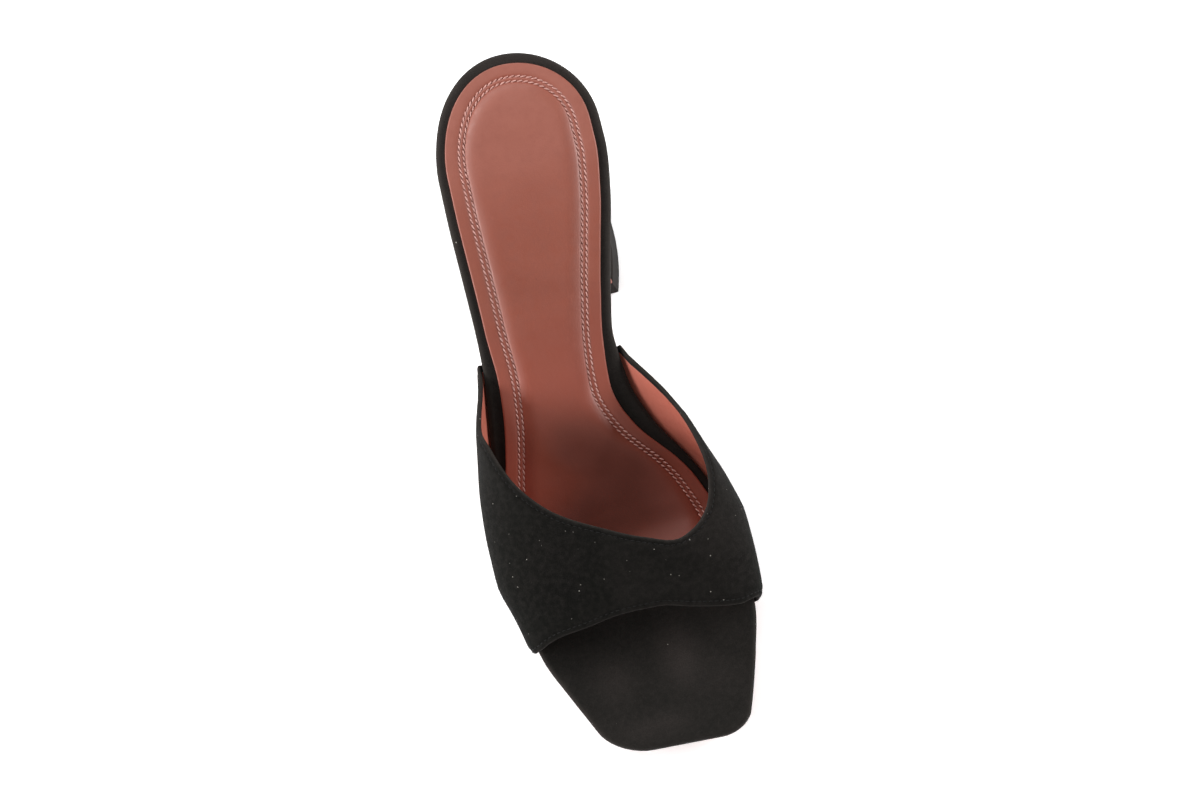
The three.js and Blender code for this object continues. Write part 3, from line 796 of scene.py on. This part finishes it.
def wrapped_footbed(suede):
    """The footbed's board in its suede wrap, with a rebate below for the vamp's tucked margin."""

    def on_top(drop):
        return lambda x, s: over_footbed(x, s) - drop

    def below(lift, rebated=True):
        def height(x, s):
            girth = 1.0 if x > 0 else 0.0
            throat, front = (curve(VAMP, edge, girth) * FOOTBED_LENGTH for edge in ("throat", "front"))
            tucked = rebated and throat - 0.6 < s < front + 0.6
            room = upright(UPPER_WALL, s) + SEAM if tucked else 0.0
            return under_footbed(s) + lift + room

        return height

    rings = [(inset, on_top(0)) for inset in (12, 8, 5, 3)]
    for step in range(7):
        angle = step / 6 * math.pi / 2
        inset = WRAP_TOP_ROUND * (1 - math.sin(angle))
        rings.append((inset, on_top(WRAP_TOP_ROUND * (1 - math.cos(angle)))))
    for step in range(4):
        angle = step / 3 * math.pi / 2
        inset = WRAP_UNDER_ROUND * (1 - math.cos(angle))
        rings.append((inset, below(WRAP_UNDER_ROUND * (1 - math.sin(angle)))))
    margin = LASTING_MARGIN + SEAM
    rings += [(margin, below(0)), (margin + 0.3, below(0, rebated=False)), (12, below(0, rebated=False))]
    mesh = slab(WRAP, 24, 108, rings)
    ring_of = mesh.verts.layers.int["ring"]
    # fold marks the rounded top edge, where the wrap's suede is painted paler as a painted sheen.
    fold_of = mesh.verts.layers.float.new("fold")
    for vert in mesh.verts:
        vert[fold_of] = bell(vert[ring_of] - WRAP_CREST_RING, 2.5) if vert[ring_of] else 0.0
    return finished(mesh, "footbed_wrap", suede, ["footbed"])


def sock_lift(inset):
    """Height of the sock over the footbed's wrap, by the distance from its cut edge."""
    shoulder = 1 - (1 - clamp01((inset - SOCK_RIM) / SOCK_SHOULDER)) ** 1.9
    grooves = sum(bell(inset - row, 0.42) for row in STITCH_ROWS)
    puffed = bell(inset - 2.6, 1.6) * 0.15 + bell(inset - sum(STITCH_ROWS) / 2, 0.5) * 0.1
    cut_round = 0.35 * bell(inset, 0.22)
    return SEAM + SOCK_EDGE + SOCK_PAD * shoulder + puffed - 0.34 * grooves - cut_round


def sock_height(inset):
    length, tall = SOCK_WAVE

    def height(x, station):
        wave = noise.noise(Vector((x, station, 0)) / length) * tall * smoothstep((inset - 8) / 4)
        return over_footbed(x, station) + sock_lift(inset) + wave

    return height


def padded_sock(leather):
    """The leather sock: a stitched rim round a padded middle."""
    insets = [13, 11.6, 10.2, 9.2, 8.5, 8, 7.6, 7.3, 7.05, 6.85, 6.65, 6.4, 6.1, 5.75, 5.4, 5.15, 4.9, 4.65]
    insets += [4.35, 3.9, 3.2, 2.2, 1.2, 0.6, 0.35, 0.18, 0.06]
    rings = [(inset, sock_height(inset)) for inset in insets]
    rings += [(0, lambda x, s: over_footbed(x, s) + SEAM + SOCK_EDGE * 0.4)]
    rings += [(inset, lambda x, s: over_footbed(x, s) + 0.05) for inset in (0, 4, 13)]
    mesh = slab(SOCK, 26, 150, rings)
    piece = finished(mesh, "padded_sock", leather, ["insock"], zones=SOCK_SHADE_ZONES)
    return piece


def stitches(name, thread, size, marks):
    """A row of stitches in one mesh: low round shapes, each with a place, a direction and a normal."""
    length, width, height = size
    mesh = bmesh.new()
    for spot, along, normal in marks:
        across = normal.cross(along).normalized()
        up = along.cross(across).normalized()
        turned = Matrix(
            (
                (*(across * width / 2), 0),
                (*(up * height / 2), 0),
                (*(along.normalized() * length / 2), 0),
                (*spot, 1),
            )
        ).transposed()
        bmesh.ops.create_uvsphere(mesh, u_segments=6, v_segments=5, radius=1, matrix=turned)
    return finished(mesh, name, thread, sharp=180)


def spaced(point, start, end, pitch, samples=3000):
    """Values along a curve of points that lie a pitch apart, from start to end."""
    travelled = 0.0
    before = point(start)
    wanted = pitch / 2
    for index in range(1, samples + 1):
        value = lerp(start, end, index / samples)
        here = point(value)
        travelled += (here - before).length
        before = here
        if travelled >= wanted:
            yield value
            wanted += pitch


def leaning(along, normal, degrees):
    """A direction turned a little about a normal, as each stitch leans in its row."""
    return Matrix.Rotation(math.radians(degrees), 3, normal) @ along


def sock_stitches(thread):
    """Two rows of stitches that hold the padding down."""
    draw = random.Random(7)
    marks = []
    hidden = 0.845  # turn at which the rows are well under the vamp
    for inset in STITCH_ROWS:

        def point(turn, inset=inset):
            x, station = rim(SOCK, turn, inset)
            return place(x, station, over_footbed(x, station) + sock_lift(inset))

        for turn in spaced(point, -hidden, hidden, SOCK_PITCH):
            along = (point(turn + 0.002) - point(turn - 0.002)).normalized()
            sideways = place(*rim(SOCK, turn, inset + 0.5), 0) - place(*rim(SOCK, turn, inset - 0.5), 0)
            normal = along.cross(sideways)
            normal = (normal if normal.z > 0 else -normal).normalized()
            lean = leaning(along, normal, SOCK_STITCH_LEAN + draw.uniform(-4, 4))
            marks.append((point(turn) + normal * SOCK_STITCH_LIFT, lean, normal))
    return stitches("sock_stitches", thread, SOCK_STITCH, marks)


# The girth of the upper's wall as steps: half of it from the tucked margin up to the ridge, then the other
# half down again. Each step is a side, a part of the half-section and a share of the way along that part.
HALF_GIRTH = (
    [("margin", 0.0), ("margin", 0.5)]
    + [("corner", step / 4) for step in range(5)]
    + [("lower", step / 5) for step in range(1, 6)]
    + [("arch", step / 24) for step in range(1, 25)]
)
GIRTH_STEPS = [("lateral", *step) for step in HALF_GIRTH] + [
    ("medial", *step) for step in reversed(HALF_GIRTH[:-1])
]


@lru_cache(maxsize=None)
def last_section(station):
    """The sizes of the last's section at a station."""
    at = station / FOOTBED_LENGTH
    foot_top = under_footbed(station) + upright(FOOTBED_THICKNESS, station)
    tall = curve(LAST, "height", at) * BALL_HEIGHT
    sizes = {
        "floor": under_footbed(station) + upright(UPPER_WALL, station),
        "crest": foot_top + tall,
        "belly": foot_top + tall * curve(LAST, "belly", at),
        "ridge": curve(LAST, "ridge", at) * BALL_WIDTH,
        "lateral arch": 2 / curve(LAST, "outerArch", at),
        "medial arch": 2 / INNER_ARCH,
    }
    for side in ("lateral", "medial"):
        edge = half_width(side, station) + WRAP_GAP
        sizes[side + " edge"] = edge
        sizes[side] = max(curve(LAST, side, at) * BALL_WIDTH, edge)
    return sizes


@lru_cache(maxsize=None)
def upper_point(step, station):
    """A point of the inside of the upper, at a step of its girth and a station."""
    side, part, share = GIRTH_STEPS[step]
    sign = 1 if side == "medial" else -1
    sizes = last_section(station)
    edge = sizes[side + " edge"]
    wide = sizes[side]
    lowest = sizes["floor"] + FEATHER_ROUND
    turn = share * math.pi / 2
    if part == "margin":
        x = edge - FEATHER_ROUND - (LASTING_MARGIN - FEATHER_ROUND) * (1 - share)
        z = sizes["floor"]
    elif part == "corner":
        x = edge - FEATHER_ROUND * (1 - math.sin(turn))
        z = sizes["floor"] + FEATHER_ROUND * (1 - math.cos(turn))
    elif part == "lower":
        x = lerp(edge, wide, math.sin(turn))
        z = lerp(lowest, sizes["belly"], share)
    else:
        ridge = sign * sizes["ridge"]
        bend = sizes[side + " arch"]
        x = ridge + (wide - ridge) * max(math.cos(turn), 0) ** bend
        z = sizes["belly"] + (sizes["crest"] - sizes["belly"]) * math.sin(turn) ** bend
    return place(sign * x, station, z)


def edge_station(step, edge):
    """The station of the vamp's throat or front edge at a step of the girth."""
    side, part, share = GIRTH_STEPS[step]
    girth = {"lower": share * BELLY_GIRTH, "arch": lerp(BELLY_GIRTH, 0.5, share)}.get(part, 0.0)
    return curve(VAMP, edge, girth if side == "lateral" else 1 - girth) * FOOTBED_LENGTH


def neighbours(step):
    return max(step - 1, 0), min(step + 1, len(GIRTH_STEPS) - 1)


@lru_cache(maxsize=None)
def edge_reach(step, edge):
    """How far square to the vamp's edge one millimetre of station takes a point."""
    station = edge_station(step, edge)
    before, after = neighbours(step)
    tangent = upper_point(after, edge_station(after, edge)) - upper_point(before, edge_station(before, edge))
    along = upper_point(step, station + 0.5) - upper_point(step, station - 0.5)
    return along.cross(tangent).length / tangent.length


def near_edge(step, edge, distance):
    """The station at a distance inside the vamp's throat or front edge."""
    sign = 1 if edge == "throat" else -1
    return edge_station(step, edge) + sign * distance / edge_reach(step, edge)


def upper_normal(step, station):
    before, after = neighbours(step)
    along = upper_point(step, station + 0.5) - upper_point(step, station - 0.5)
    across = upper_point(after, station) - upper_point(before, station)
    return along.cross(across).normalized()


def on_upper(step, station, lift):
    """A point at a height over the inside of the upper."""
    return upper_point(step, station) + upper_normal(step, station) * lift


def wall_loop(low, high, setback, relief, folded):
    """The way round a wall's section, from the throat over the outside to the front, and back inside: each
    place is an edge, a distance from it (or a share of the way between them) and a height. folded is the
    width of its edges that is folded in and lies on the last itself."""
    edge_low = 0.0 if folded else low
    edge_high = high + relief(0.0)
    radius = (edge_high - edge_low) / 2
    middle = (edge_high + edge_low) / 2
    steps = (0, 0.2, 0.45, 0.7, 0.9, 1.05, 1.2, 1.45, 1.8, 2.5, 3.8, 6)
    marks = [setback + radius + further for further in steps]
    shares = [step / 18 for step in range(1, 18)]
    outside = [("throat", mark, high + relief(mark)) for mark in marks]
    outside += [("between", share, high) for share in shares]
    outside += [("front", mark, high + relief(mark)) for mark in reversed(marks)]

    def inner(mark):
        return edge_low if mark - setback < folded else low

    inside = [("front", mark, inner(mark)) for mark in marks]
    inside += [("between", share, low) for share in reversed(shares)]
    inside += [("throat", mark, inner(mark)) for mark in reversed(marks)]

    def fold(edge, outwards):
        turns = [step / 6 * math.pi for step in range(1, 6)]
        arc = [(edge, setback + radius * (1 - math.sin(t)), middle + radius * math.cos(t)) for t in turns]
        return arc if outwards else arc[::-1]

    return outside + fold("front", True) + inside + fold("throat", False), marks[-1]


def upper_wall(low, high, setback, relief=lambda distance: 0.0, folded=0.0):
    """A closed wall that lies over the last between two heights, with rounded edges."""
    loop, inner_mark = wall_loop(low, high, setback, relief, folded)

    def position(step, column):
        edge, distance, lift = loop[column]
        if edge == "between":
            throat, front = (near_edge(step, name, inner_mark) for name in ("throat", "front"))
            return on_upper(step, lerp(throat, front, distance), lift)
        return on_upper(step, near_edge(step, edge, distance), lift)

    mesh = tube(len(loop), len(GIRTH_STEPS), position)
    column_of = mesh.verts.layers.int["column"]
    # fold marks the folded edges, where the vamp's suede is painted paler as a painted sheen.
    fold_of = mesh.verts.layers.float.new("fold")
    for vert in mesh.verts:
        edge, distance, lift = loop[vert[column_of]]
        vert[fold_of] = 0.0 if edge == "between" else bell(distance - setback, 0.4)
    return mesh


def vamp_relief(distance):
    """The outside of the vamp near its edges: skived, puffed over the fold, and drawn in by the stitching."""
    skived = (UPPER_WALL - VAMP_EDGE) * (1 - smoothstep(distance / 3.5))
    puffed = 0.1 * bell(distance - 0.95, 0.35)
    return puffed - skived - 0.2 * bell(distance - VAMP_SEAM, 0.32)


def vamp(suede, lining):
    """The suede vamp with its edges folded in, and its leather lining."""
    outer = upper_wall(LINING, UPPER_WALL, 0.0, vamp_relief, LINING_SETBACK + 0.1)
    finished(outer, "vamp_suede", suede, ["upper"], sharp=60)
    inner = upper_wall(0.0, LINING + 0.05, LINING_SETBACK)
    finished(inner, "vamp_lining", lining, sharp=60)


def between_steps(step, value_at):
    """A value at a step of the girth that isn't whole."""
    low = min(int(step), len(GIRTH_STEPS) - 2)
    return value_at(low).lerp(value_at(low + 1), step - low)


def vamp_stitches(thread):
    """The row of black stitches along the throat and the front edge."""
    draw = random.Random(11)
    marks = []
    first = 7  # the steps of the girth at which the rows come out over the sole
    last = len(GIRTH_STEPS) - 8
    in_groove = UPPER_WALL + vamp_relief(VAMP_SEAM) + VAMP_STITCH_LIFT
    for edge in ("throat", "front"):

        def point(step, lift=in_groove, edge=edge):
            def at(whole):
                return on_upper(whole, near_edge(whole, edge, VAMP_SEAM), lift)

            return between_steps(step, at)

        for step in spaced(point, first, last, VAMP_PITCH, 1200):
            along = (point(step + 0.05) - point(step - 0.05)).normalized()
            normal = (point(step, UPPER_WALL + 0.8) - point(step)).normalized()
            marks.append((point(step), leaning(along, normal, draw.uniform(-3, 3)), normal))
    return stitches("vamp_stitches", thread, VAMP_STITCH, marks)


def heel_section(up):
    """Plan of the heel at a share of its height: its two ends, the length of its rounded back on each side,
    and its half-width by side and station."""
    if up >= 1:
        rounds = {side: HEEL_ROUND[side] - HEEL_TOP_INSET for side in HEEL_ROUND}
        return HEEL_TOP_INSET, BREAST_TOP, rounds, lambda side, s: half_width(side, s, HEEL_TOP_INSET)

    def row(column):
        return curve(HEEL, column, up)

    back = lerp(HEEL_BASE_BACK, HEEL_TOP_INSET, row("back"))
    front = lerp(HEEL_BASE_FRONT - SEAM - BREAST_LEATHER, BREAST_TOP, row("front"))
    wide = {side: row(side) * HEEL_BASE_WIDTH for side in HEEL_ROUND}
    rounds = {side: row("round") * wide[side] for side in wide}

    def half(side, station):
        into = clamp01((station - back) / rounds[side])
        side_start = lerp(back, front, HEEL_TAPER_FROM)
        taper = lerp(1, row("corner"), max((station - side_start) / (front - side_start), 0) ** 2)
        return wide[side] * math.sqrt(1 - (1 - into) ** 2) * taper

    return back, front, rounds, half


HEEL_SIDE_COLUMNS = 30  # from the middle of the back to a front corner
HEEL_BACK_SHARE = 0.6  # of them lie on the rounded back
HEEL_FRONT_COLUMNS = 12
HEEL_COLUMNS = 2 * HEEL_SIDE_COLUMNS + HEEL_FRONT_COLUMNS
HEEL_CORNERS = (0, 2 * HEEL_SIDE_COLUMNS)


@lru_cache(maxsize=None)
def heel_rim(up, column, reach=0.0):
    """Plan point of the heel at a height, by column: from the outer front corner round the back to the
    inner one, and then across the breast. The plan can be carried on in front of the breast."""
    back, front, rounds, half = heel_section(up)
    front += reach
    column %= HEEL_COLUMNS
    if column > 2 * HEEL_SIDE_COLUMNS:
        share = (column - 2 * HEEL_SIDE_COLUMNS) / HEEL_FRONT_COLUMNS
        return Vector((lerp(half("medial", front), -half("lateral", front), share), front))
    side, sign = ("lateral", -1) if column < HEEL_SIDE_COLUMNS else ("medial", 1)
    share = abs(column - HEEL_SIDE_COLUMNS) / HEEL_SIDE_COLUMNS
    curved = min(rounds[side], (front - back) * 0.8)
    if share < HEEL_BACK_SHARE:
        station = back + curved * (1 - math.cos(share / HEEL_BACK_SHARE * math.pi / 2))
    else:
        station = lerp(back + curved, front, (share - HEEL_BACK_SHARE) / (1 - HEEL_BACK_SHARE))
    return Vector((sign * half(side, station), station))


def lift_rim(column, distance):
    """A plan point of the lift, which reaches in front of the heel's breast leather: on the heel's own base,
    or moved outwards, square to that outline and mitred at its corners."""
    reach = SEAM + BREAST_LEATHER
    before, here, after = (heel_rim(0.0, (column + k) % HEEL_COLUMNS, reach) for k in (-1, 0, 1))

    def outwards(start, end):
        along = (end - start).normalized()
        return Vector((along.y, -along.x))

    first = outwards(before, here)
    second = outwards(here, after)
    return here + (first + second) * distance / (1 + first.dot(second))


def rounded_corners(mesh, columns, size):
    """Rounds the upright edges of a tube that run along some of its columns."""
    column_of = mesh.verts.layers.int["column"]
    row_of = mesh.verts.layers.int["row"]
    edges = [
        edge
        for edge in mesh.edges
        if edge.verts[0][column_of] in columns
        and edge.verts[0][column_of] == edge.verts[1][column_of]
        and abs(edge.verts[0][row_of] - edge.verts[1][row_of]) == 1
    ]
    bmesh.ops.bevel(mesh, geom=edges, offset=size, segments=3, profile=0.5, affect="EDGES", material=-1)


def covered_heel(suede):
    """The heel block in its suede cover, from the lift up to the footbed."""
    highest = HEEL[-1]["up"]  # above it the cover runs straight up to the footbed's outline
    ups = [step / 26 * highest for step in range(27)] + [0.97, 1.0]
    base = TOP_PIECE_HEIGHT + SEAM / 3

    def position(row, column):
        up = ups[row]
        if highest < up < 1:
            share = (up - highest) / (1 - highest)
            x, station = heel_rim(highest, column).lerp(heel_rim(1.0, column), share)
        else:
            x, station = heel_rim(up, column)
        return place(x, station, lerp(base, under_footbed(station) - 0.02, up))

    mesh = tube(HEEL_COLUMNS, len(ups), position)
    rounded_corners(mesh, HEEL_CORNERS, CORNER_ROUND)
    return finished(mesh, "heel_cover", suede, ["heel"], sharp=50)


def lift(rubber):
    """The rubber lift, its sides sloping out to the floor, with crisp front corners."""
    levels = [
        (TOP_PIECE_HEIGHT, -0.5),
        (TOP_PIECE_HEIGHT, -0.12),
        (TOP_PIECE_HEIGHT - 0.15, 0.04),
        (TOP_PIECE_HEIGHT * 0.5, TOP_PIECE_TAPER * 0.5),
        (0.65, TOP_PIECE_TAPER - 0.05),
        (0.3, TOP_PIECE_TAPER - 0.15),
        (0.0, TOP_PIECE_TAPER - 0.5),
    ]

    def position(row, column):
        height, outset = levels[row]
        x, station = lift_rim(column, outset)
        return place(x, station, height)

    mesh = tube(HEEL_COLUMNS, len(levels), position)
    return finished(mesh, "top_lift", rubber, ["top_piece"], sharp=25)


BREAST_ROWS = 13  # rows of the sole's mesh on the breast, below the bend
SOLE_BEND = 2.6  # how far the sole's turn on to the breast is rounded
SOLE_EVEN_FROM = 72  # station from which its rows are evenly spaced


def sole_section():
    """The way round the sole's section: a share across from -1 to 1, a share through from the side that is
    glued on to the side that shows, and an inset."""
    across = [-1 + step / 10 for step in range(21)]
    edge = [(0.35, 0.0), (0.7, 0.0), (0.88, 0.12), (0.97, 0.35)]
    glued = [(share, 0.0, 0.0) for share in across]
    inner = [(1.0, through, inset) for through, inset in edge]
    shown = [(share, 1.0, 0.7) for share in reversed(across)]
    outer = [(-1.0, through, inset) for through, inset in reversed(edge)]
    return glued + inner + shown + outer


def sole_rows():
    """The sole's rows from the foot of the heel's breast up to the footbed and on to the toe. Each is the
    station and height of the glued side and of the shown side, and its two half-widths."""
    rows = []
    for step in range(BREAST_ROWS):
        up = step / BREAST_ROWS
        _, front, _, half = heel_section(up)
        station = front + SEAM / 2
        height = lerp(TOP_PIECE_HEIGHT + SEAM / 3, under_footbed(station) - SEAM, up)
        halves = [half(side, front) - BREAST_SETBACK for side in ("lateral", "medial")]
        rows.append(((station, height), (station + BREAST_LEATHER, height), *halves))
    along = {side: TOE_CORNER[side][1] - OUTSOLE_INSET for side in TOE_CORNER}
    end = FOOTBED_LENGTH - OUTSOLE_INSET
    straight = end - max(along.values())
    stations = [BREAST_TOP + SEAM / 2]
    stations += [lerp(SOLE_EVEN_FROM, straight, step / 60) for step in range(61)]
    stations += [straight + (end - straight) * math.sin(step / 10 * math.pi / 2) for step in range(1, 11)]
    for index, station in enumerate(stations):
        shown = station + BREAST_LEATHER if index == 0 else station
        glued_height = under_footbed(station) - SEAM / 3
        shown_height = under_footbed(shown) - SEAM - upright(OUTSOLE_THICKNESS, shown)
        halves = [half_width(side, station, OUTSOLE_INSET) for side in ("lateral", "medial")]
        rows.append(((station, glued_height), (shown, shown_height), *halves))
    return rows


def leather_sole(leather):
    """One leather sole from the toe back to the heel and on down its breast."""
    section = sole_section()
    rows = sole_rows()

    def position(row, column):
        glued, shown, lateral, medial = rows[row]
        share, through, inset = section[column]
        half = lateral if share < 0 else medial
        x = math.copysign(max(half * abs(share) - inset * abs(share), 0), share)
        return place(x, lerp(glued[0], shown[0], through), lerp(glued[1], shown[1], through))

    mesh = tube(len(section), len(rows), position)
    row_of = mesh.verts.layers.int["row"]
    bend = [edge for edge in mesh.edges if all(vert[row_of] == BREAST_ROWS for vert in edge.verts)]
    bmesh.ops.bevel(mesh, geom=bend, offset=SOLE_BEND, segments=5, profile=0.5, affect="EDGES", material=-1)
    return finished(mesh, "leather_sole", leather, ["outsole"], sharp=50)


def soft_box(name, azimuth, elevation, size, power):
    """A soft rectangular light turned to the shoe. Azimuth 0 is behind the heel and 90 on the inner side."""
    data = bpy.data.lights.new(name, "AREA")
    data.shape = "RECTANGLE"
    data.size, data.size_y = size
    data.energy = power
    level = math.cos(math.radians(elevation))
    away = Vector(
        (
            level * math.sin(math.radians(azimuth)),
            level * math.cos(math.radians(azimuth)),
            math.sin(math.radians(elevation)),
        )
    )
    lamp = in_scene(name, data)
    lamp.location = Vector(LIGHT_TARGET) + away * LIGHT_DISTANCE
    lamp.rotation_mode = "QUATERNION"
    lamp.rotation_quaternion = (-away).to_track_quat("-Z", "Y")


def studio():
    """A plain pale floor under soft light."""
    made, tree, shader = material("pale floor")
    pale = {"Base Color": (0.92, 0.92, 0.92, 1), "Roughness": 0.9}
    glow = {"Emission Color": (1, 1, 1, 1), "Emission Strength": FLOOR_GLOW}
    feed(tree, shader, {**pale, **glow})
    mesh = bmesh.new()
    bmesh.ops.create_grid(mesh, x_segments=1, y_segments=1, size=FLOOR_REACH)
    mesh_object(mesh, "floor", made)
    world = bpy.data.worlds.new("studio")
    world.use_nodes = True
    sky = world.node_tree.nodes["Background"]
    sky.inputs[0].default_value = (1.0, 1.0, 1.0, 1)
    sky.inputs[1].default_value = AMBIENT
    bpy.context.scene.world = world
    for soft_light in SOFT_BOXES:
        soft_box(*soft_light)
    bpy.context.scene.view_settings.view_transform = "Standard"


def camera():
    """The camera where the photograph was taken from, turned to put the shoe in the middle."""
    spot = Vector(CAMERA_SPOT)
    forward = (Vector(CAMERA_TARGET) - spot).normalized()
    level = Vector(CAMERA_LEVEL)
    right = (level - forward * level.dot(forward)).normalized()
    up = right.cross(forward)
    data = bpy.data.cameras.new("camera")
    data.lens = CAMERA_LENS
    made = in_scene("camera", data)
    turned = Matrix((right, up, -forward)).transposed().to_4x4()
    made.matrix_world = Matrix.Translation(spot * MM) @ turned
    bpy.context.scene.camera = made


def main():
    groups = {"specks": specks_group(), "suede": suede_group(), "leather": leather_group()}
    # The vamp, the wrap and the heel are of one black suede; the paler copy on the wrap and the heel is
    # painted light, which stands in for light on the wrap's edge and makes up for the shade on its toe.
    black = linear(17, 17, 15)
    paler_black = linear(29, 28, 26)
    camera()
    studio()
    wrapped_footbed(suede_material("wrap suede", groups, paler_black, patch_scale=30, brushing=0.25, crest_sheen=0.25))
    padded_sock(sock_material(groups))
    sock_stitches(thread_material("pink thread", linear(196, 152, 144), linear(164, 112, 102)))
    vamp(
        suede_material("vamp suede", groups, black, brushing=0.15, lint=0.5, crest_sheen=0.3),
        leather_material("lining leather", groups, linear(166, 91, 75), linear(144, 74, 59), (0.5, 0.7)),
    )
    vamp_stitches(thread_material("black thread", linear(20, 19, 18), linear(12, 12, 11)))
    covered_heel(suede_material("heel suede", groups, paler_black, patch_scale=35))
    leather_sole(leather_material("sole leather", groups, linear(142, 84, 72), linear(120, 66, 56)))
    lift(rubber_material(groups))


main()
